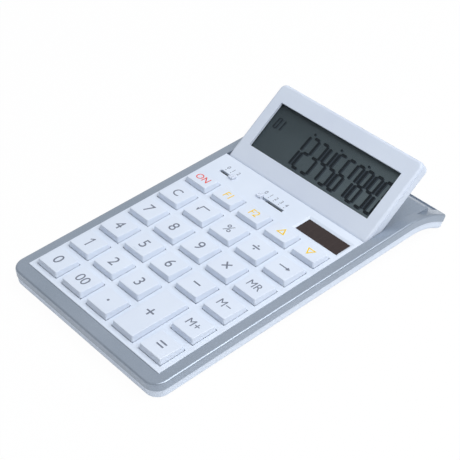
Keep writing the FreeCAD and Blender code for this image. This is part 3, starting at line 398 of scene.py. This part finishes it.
def arrow(length, stroke):
    """A right-pointing arrow: a bar with a three-sided head."""
    part = {name: length * share for name, share in ARROW_SHARES.items()}
    deselect()
    bpy.ops.mesh.primitive_plane_add(size=1)
    bpy.ops.object.mode_set(mode="EDIT")
    bpy.ops.transform.resize(value=(part["bar"], stroke, 1))
    bpy.ops.transform.translate(value=(-part["bar_back"], 0, 0))
    bpy.ops.mesh.select_all(action="DESELECT")
    bpy.ops.mesh.primitive_circle_add(
        vertices=3, radius=part["head"], fill_type="NGON", rotation=(0, 0, -math.pi / 2),
        location=(part["head_ahead"], 0, 0))
    return thickened()


# Print on the keys and beside the switches

LEGENDS = {
    "key_0": "0", "key_00": "00", "key_plus": "+", "key_equals": "=",
    "key_2": "2", "key_3": "3", "key_memory_plus": "M+",
    "key_4": "4", "key_5": "5", "key_6": "6", "key_minus": "−", "key_memory_minus": "M−",
    "key_7": "7", "key_8": "8", "key_9": "9", "key_times": "×", "key_memory_recall": "MR",
    "key_clear": "C", "key_percent": "%", "key_divide": "÷",
    "key_on": "ON", "key_function_left": "F1", "key_function_right": "F2",
}
LEGEND_INK = {"key_on": "red", "key_function_left": "orange", "key_function_right": "orange"}
LEGEND_LINES = {
    "key_1": [(-1.1, 1.7), (0.35, 2.85), (0.35, -2.85)],
    "key_root": [(-2.9, -0.5), (-2.4, -1.7), (-1.9, 2.05), (2.3, 2.05)],
}
LINE_WIDTH = 0.62 * MM
TRIANGLE_RADIUS = 2.9 * MM
ARROW_LENGTH = 6.4 * MM
POINT_RADIUS = 0.65 * MM
LEGEND_SHIFT = 0.4 * MM
LEGEND_HEIGHT = 8.2 * MM
OTHER_HEIGHTS = {
    "key_00": 7.5 * MM, "key_plus": 9.8 * MM, "key_minus": 9.4 * MM, "key_equals": 9.4 * MM,
    "key_times": 9.6 * MM, "key_divide": 9.8 * MM, "key_percent": 7.0 * MM,
    "key_memory_plus": 6.0 * MM, "key_memory_minus": 6.0 * MM, "key_memory_recall": 6.0 * MM,
    "key_clear": 7.0 * MM, "key_on": 5.6 * MM,
    "key_function_left": 6.0 * MM, "key_function_right": 6.0 * MM,
}
SWITCH_STEP = 3.6 * MM
SWITCH_STOPS = {"rounding": (-2, -1, 0), "decimal": (0, 1, 2, 3, 4)}
TICK_RADIUS = 0.28 * MM
TICK_BEHIND = 2.1 * MM
NUMBER_HEIGHT = 3.2 * MM
NUMBER_BEHIND = 4.2 * MM


def key_top(label):
    """Where a key's legend lies: the middle of its sloping top."""
    middle, length = node_place(label)
    slope = math.atan2(KEY_RISE_FRONT - KEY_RISE_REAR, length / math.cos(incline))
    rise = (KEY_RISE_FRONT + KEY_RISE_REAR) / 2
    above = Matrix.Translation((middle.x, middle.y + LEGEND_SHIFT, rise))
    return CASE @ above @ Matrix.Rotation(-slope, 4, "X")


def print_legend(mark, label, ink="grey", turn=0):
    """Set a mark on the top of a key."""
    place = key_top(label) @ Matrix.Rotation(turn, 4, "Z")
    settle(mark, f"legend_{label}", f"{label}_button", INK[ink], place)


def print_keys():
    """The keys' legends: letters and signs, then those drawn as lines, triangles, an arrow and a spot."""
    for label, text in LEGENDS.items():
        words = lettering(text, OTHER_HEIGHTS.get(label, LEGEND_HEIGHT))
        print_legend(words, label, LEGEND_INK.get(label, "grey"))
    for label, corners in LEGEND_LINES.items():
        print_legend(drawn_line([(x * MM, y * MM) for x, y in corners], LINE_WIDTH), label)
    for label, turn in (("key_up", 0), ("key_down", math.pi)):
        print_legend(triangle_outline(TRIANGLE_RADIUS, LINE_WIDTH), label, "orange", turn)
    print_legend(arrow(ARROW_LENGTH, LINE_WIDTH), "key_shift")
    print_legend(dot(POINT_RADIUS), "key_point")


def print_scales():
    """A tick and a plain number behind each place of the two slide switches."""
    for name, stops in SWITCH_STOPS.items():
        knob, _ = node_place(f"{name}_switch")
        for number, stop in enumerate(stops):
            stop_place = CASE @ Matrix.Translation((knob.x + stop * SWITCH_STEP, knob.y, 0))
            marks = {
                "tick": (dot(TICK_RADIUS), TICK_BEHIND),
                "number": (lettering(str(number), NUMBER_HEIGHT), NUMBER_BEHIND),
            }
            for kind, (mark, behind) in marks.items():
                place = stop_place @ Matrix.Translation((0, behind, 0))
                settle(mark, f"{name}_{kind}_{number}", "case", INK["grey"], place)


# Display figures

DIGIT_HEIGHT = 17.6 * MM
DIGIT_WIDTH = 3.9 * MM
DIGIT_PITCH = 6.12 * MM
DIGIT_SLANT = math.radians(4)
STROKE = 1.45 * MM
SEGMENT_GAP = 0.22 * MM
# Each bar's column and row about the middle of the figure
SEGMENTS = {
    "a": (0, 1), "b": (1, 0.5), "c": (1, -0.5), "d": (0, -1),
    "e": (-1, -0.5), "f": (-1, 0.5), "g": (0, 0),
}
FIGURES = {
    "0": "abcdef", "1": "bc", "2": "abged", "3": "abgcd", "4": "fgbc",
    "5": "afgcd", "6": "afgedc", "7": "abcf", "8": "abcdefg", "9": "abcdfg",
}
SHOWN_NUMBER = "1234567890"
MARKED_FIGURES = (0, 3, 6)
MARK_RADIUS = 0.65 * MM
MARK_SHIFT = Vector((DIGIT_WIDTH / 2 + 1.8 * MM, DIGIT_HEIGHT / 2 + 1.6 * MM, 0))
LAST_FIGURE = Vector((37.65, 20.1, GLASS_FACE / MM)) * MM
COUNT_FIGURES = {"0": -36.8 * MM, "1": -34.2 * MM}
COUNT_MIDDLE = 25.9 * MM
COUNT_SHRINK = (0.5, 0.33)
FIGURE_LIFT = Vector((0, 0, PRINT_THICKNESS * 2))
SHADE_SHIFT = Vector((0.75, -0.2, 0)) * MM


def segment_bar(length):
    """One bar of a figure: a six-sided strip with pointed ends, upright about the origin."""
    deselect()
    radius = STROKE / math.sqrt(3)
    off_middle = radius * 0.1
    bpy.ops.mesh.primitive_circle_add(vertices=6, radius=radius, fill_type="NGON")
    bar = bpy.context.object
    bpy.ops.object.mode_set(mode="EDIT")
    edit = bmesh.from_edit_mesh(bar.data)
    for end in (-1, 1):
        bpy.ops.mesh.select_all(action="DESELECT")
        for corner in edit.verts:
            corner.select_set(corner.co.y * end > off_middle)
        edit.select_flush_mode()
        bpy.ops.transform.translate(value=(0, end * (length / 2 - radius - SEGMENT_GAP), 0))
    return thickened()


def figure(character):
    """A seven-bar figure, slanted, joined from its bars."""
    upright = segment_bar(DIGIT_HEIGHT / 2)
    level = segment_bar(DIGIT_WIDTH)
    bars = []
    for letter in FIGURES[character]:
        column, row = SEGMENTS[letter]
        source = upright if column else level
        turn = Matrix() if column else Matrix.Rotation(math.pi / 2, 4, "Z")
        shift = Matrix.Translation((column * DIGIT_WIDTH / 2, row * DIGIT_HEIGHT / 2, 0))
        bar = source.copy()
        bar.data = source.data.copy()
        bar.data.transform(shift @ turn)
        bpy.context.collection.objects.link(bar)
        bars.append(bar)
    for source in (upright, level):
        bpy.data.objects.remove(source)
    whole = joined(bars)
    slanted = Matrix()
    slanted[0][1] = math.tan(DIGIT_SLANT)
    whole.data.transform(slanted)
    return whole


def show(make, name, place):
    """A mark on the panel and the painted shadow that it casts below: a dark copy of it, shifted aside."""
    layers = {"figure": (SEGMENT_DARK, FIGURE_LIFT), "shade": (SEGMENT_SHADE, SHADE_SHIFT)}
    for kind, (finish, shift) in layers.items():
        layer_place = HEAD @ Matrix.Translation(shift) @ place
        settle(make(), f"display_{kind}_{name}", "display_head", finish, layer_place)


def show_number():
    """The number on the display, the marks between its groups of three and a small count at the left."""
    for index, character in enumerate(SHOWN_NUMBER):
        back = DIGIT_PITCH * (len(SHOWN_NUMBER) - 1 - index)
        place = Matrix.Translation(LAST_FIGURE - Vector((back, 0, 0)))
        show(lambda: figure(character), index, place)
        if index in MARKED_FIGURES:
            show(lambda: dot(MARK_RADIUS), f"mark_{index}", place @ Matrix.Translation(MARK_SHIFT))
    for character, x in COUNT_FIGURES.items():
        shrunk = Matrix.Diagonal((*COUNT_SHRINK, 1, 1))
        place = Matrix.Translation((x, COUNT_MIDDLE, GLASS_FACE)) @ shrunk
        show(lambda: figure(character), f"count_{character}", place)


# Rubber keypad

RUBBER_TOP = -4.3 * MM
DOME_HEIGHT = 2.0 * MM
DOME_BASE_RADIUS = 4.6 * MM
DOME_TOP_RADIUS = 2.6 * MM
DOME_SIDES = 32
DOME_PLAY = 0.02 * MM
SAME_PLACE = 0.001 * MM
PRESS = "_press"


def keypad_sheet():
    """The flat sheet of the keypad, in the case's frame: the CAD form with its domes taken off."""
    node = frame["nodes"]["keypad_rubber"]
    form = bmesh.new()
    form.from_mesh(node.data)
    form.transform(CASE_FROM_ROW @ node.matrix_world)
    bmesh.ops.remove_doubles(form, verts=form.verts, dist=SAME_PLACE)
    raised = [corner for corner in form.verts if corner.co.z > RUBBER_TOP + DOME_PLAY]
    bmesh.ops.delete(form, geom=raised, context="VERTS")
    rims = [edge for edge in form.edges if edge.is_boundary]
    bmesh.ops.holes_fill(form, edges=rims, sides=0)
    mesh = bpy.data.meshes.new("keypad_sheet")
    form.to_mesh(mesh)
    form.free()
    sheet = bpy.data.objects.new("keypad_sheet", mesh)
    bpy.context.collection.objects.link(sheet)
    return sheet


def add_keypad():
    """The rubber keypad as a sheet and a dome for each key."""
    rubber = FINISHES["keypad_rubber"]
    sheet = settle(keypad_sheet(), "keypad_sheet", "case", rubber, CASE)
    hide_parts("keypad_rubber")
    for name, joint in joints.items():
        if not name.endswith(PRESS):
            continue
        label = name[:-len(PRESS)]
        middle, _ = node_place(label)
        deselect()
        bpy.ops.mesh.primitive_cone_add(
            vertices=DOME_SIDES, radius1=DOME_BASE_RADIUS, radius2=DOME_TOP_RADIUS, depth=DOME_HEIGHT)
        cone = bpy.context.object
        foot = Vector((middle.x, middle.y, RUBBER_TOP))
        place = CASE @ Matrix.Translation(foot + Vector((0, 0, DOME_HEIGHT / 2)))
        dome = settle(cone, f"keypad_dome_{label}", "case", rubber, place)
        left = DOME_HEIGHT - max(joint["range_m"]) - DOME_PLAY
        left / DOME_HEIGHT
        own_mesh(dome)


print_keys()
print_scales()
show_number()
add_keypad()


# Floor, light and camera

CAMERA_IN_CASE = Vector((370.46, -198.84, 388.2)) * MM
CAMERA_AZIMUTH = math.radians(52.333)
CAMERA_ELEVATION = math.radians(39.579)
CAMERA_ROLL = math.radians(4.447)
SENSOR = 36.0
LENS = 102.63
FLOOR_SIZE = 8
FLOOR_COLOR = (0.86, 0.87, 0.88, 1)
FLOOR_ROUGHNESS = 0.9
GLOW_COLOR = (1, 1, 1, 1)
# How much of the floor is glow, for each kind of ray that meets it
FLOOR_GLOW = {"Is Camera Ray": 0.97, "Is Transmission Ray": 0.97, "Is Glossy Ray": 0.1}
WORLD_COLOR = (0.93, 0.96, 1, 1)
WORLD_STRENGTH = 0.45
# Each lamp's place, size, power in watts and colour
LAMPS = {
    "key_light": ((0.42, 0.18, 0.82), 0.7, 7.2, (0.97, 0.98, 1)),
    "front_light": ((-0.2, -1.3, 0.35), 1.0, 0.6, (0.95, 0.97, 1)),
    "side_light": ((1.2, -0.1, 0.35), 0.8, 0.7, (0.98, 0.97, 1)),
    "fill_light": ((-0.8, 0.6, 0.9), 1.2, 1.4, (0.95, 0.97, 1)),
}


def add_camera():
    """A camera fitted to the photograph by the grid of keys."""
    back = Vector((
        math.sin(CAMERA_AZIMUTH) * math.cos(CAMERA_ELEVATION),
        -math.cos(CAMERA_AZIMUTH) * math.cos(CAMERA_ELEVATION),
        math.sin(CAMERA_ELEVATION),
    ))
    right = Vector((0, 0, 1)).cross(back).normalized()
    up = back.cross(right)
    level = Matrix((right, up, back)).transposed().to_4x4()
    roll = Matrix.Rotation(-CAMERA_ROLL, 4, "Z")
    data = bpy.data.cameras.new("camera")
    data.sensor_width = SENSOR
    data.lens = LENS
    camera = bpy.data.objects.new("camera", data)
    bpy.context.collection.objects.link(camera)
    camera.matrix_world = CASE @ Matrix.Translation(CAMERA_IN_CASE) @ level @ roll
    bpy.context.scene.camera = camera


def add_floor():
    """A plain pale floor that stays white to the eye and still takes the object's shadow."""
    deselect()
    bpy.ops.mesh.primitive_plane_add(size=FLOOR_SIZE)
    floor = bpy.context.object
    floor.name = "floor"
    material = bpy.data.materials.new("floor_white")
    material.use_nodes = True
    tree = material.node_tree
    shader = tree.nodes["Principled BSDF"]
    shader.inputs["Base Color"].default_value = FLOOR_COLOR
    shader.inputs["Roughness"].default_value = FLOOR_ROUGHNESS
    glow = tree.nodes.new("ShaderNodeEmission")
    glow.inputs["Color"].default_value = GLOW_COLOR
    path = tree.nodes.new("ShaderNodeLightPath")
    share = None
    for ray, glow_share in FLOOR_GLOW.items():
        step = tree.nodes.new("ShaderNodeMath")
        step.operation = "MULTIPLY_ADD"
        tree.links.new(path.outputs[ray], step.inputs[0])
        step.inputs[1].default_value = glow_share
        step.inputs[2].default_value = 0
        if share is not None:
            tree.links.new(share, step.inputs[2])
        share = step.outputs[0]
    mix = tree.nodes.new("ShaderNodeMixShader")
    tree.links.new(share, mix.inputs[0])
    tree.links.new(shader.outputs[0], mix.inputs[1])
    tree.links.new(glow.outputs[0], mix.inputs[2])
    tree.links.new(mix.outputs[0], tree.nodes["Material Output"].inputs[0])
    floor.data.materials.append(material)


def add_world():
    """An even, slightly cool sky."""
    world = bpy.data.worlds.new("studio")
    world.use_nodes = True
    sky = world.node_tree.nodes["Background"]
    sky.inputs["Color"].default_value = WORLD_COLOR
    sky.inputs["Strength"].default_value = WORLD_STRENGTH
    bpy.context.scene.world = world


def add_lamps():
    """Square area lamps, all turned to the origin."""
    for name, (place, size, power, color) in LAMPS.items():
        data = bpy.data.lights.new(name, "AREA")
        data.size = size
        data.energy = power
        data.color = color
        light = bpy.data.objects.new(name, data)
        bpy.context.collection.objects.link(light)
        light.location = place
        light.rotation_euler = (-Vector(place)).to_track_quat("-Z", "Y").to_euler()


add_camera()
add_floor()
add_world()
add_lamps()
bpy.context.scene.view_settings.view_transform = "Standard"
